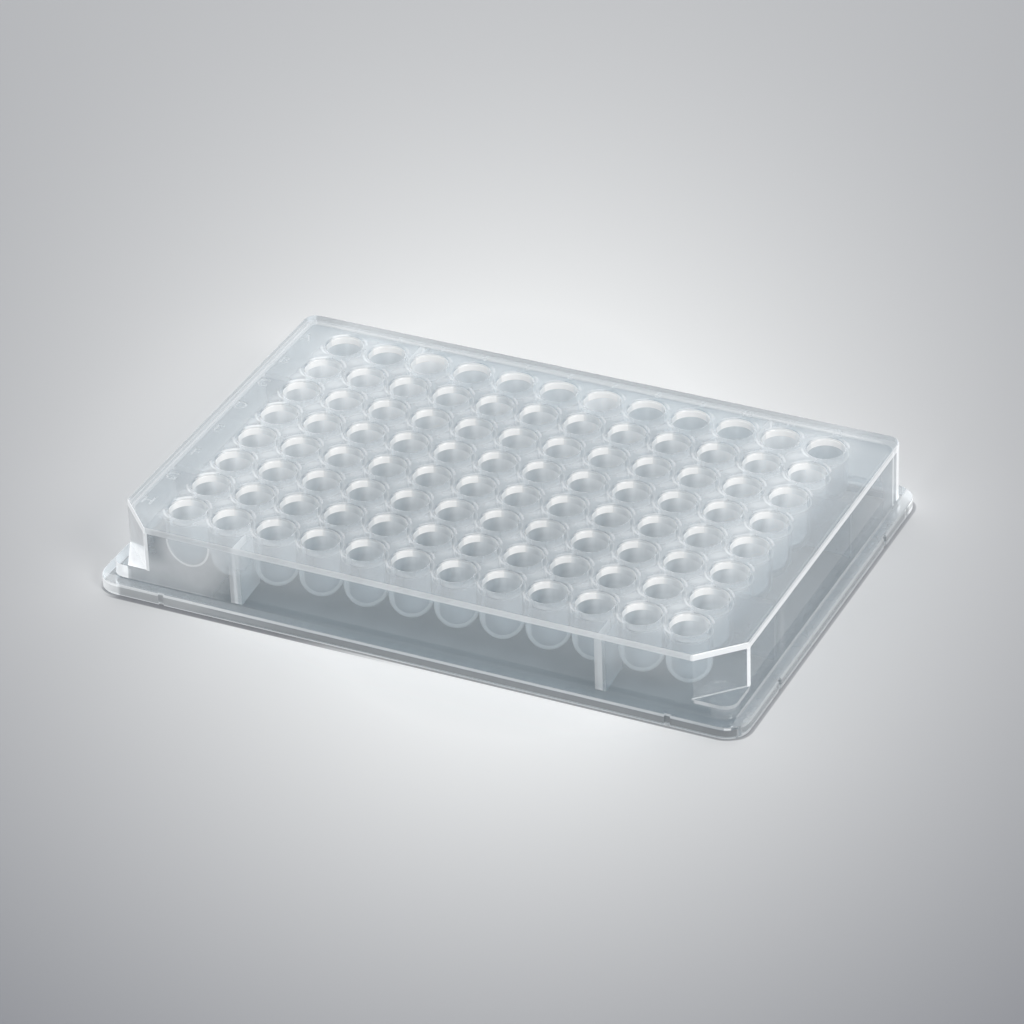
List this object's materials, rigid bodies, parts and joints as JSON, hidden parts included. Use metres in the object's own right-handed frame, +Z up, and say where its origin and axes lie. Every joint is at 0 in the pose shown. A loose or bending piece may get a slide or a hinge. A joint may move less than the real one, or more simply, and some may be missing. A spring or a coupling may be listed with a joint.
{
  "type": "well plate",
  "caption": "Clear moulded microplate: a grid of round-bottomed wells hanging from a flat deck, with a stepped base flange, cut front corners and ribs under the deck.",
  "frame": {"origin": "middle of the footprint, on the surface that the plate rests on", "axes": "+X along the long side from column 1 towards column 12, +Y from the row H side towards the row A side, +Z up"},
  "size_m": [0.1278, 0.0854, 0.0143],
  "materials": {
    "clear_polystyrene": "clear, glossy as moulded, faintly milky"
  },
  "bodies": {
    "root": {"well_plate": "clear_polystyrene"}
  },
  "joints": []
}
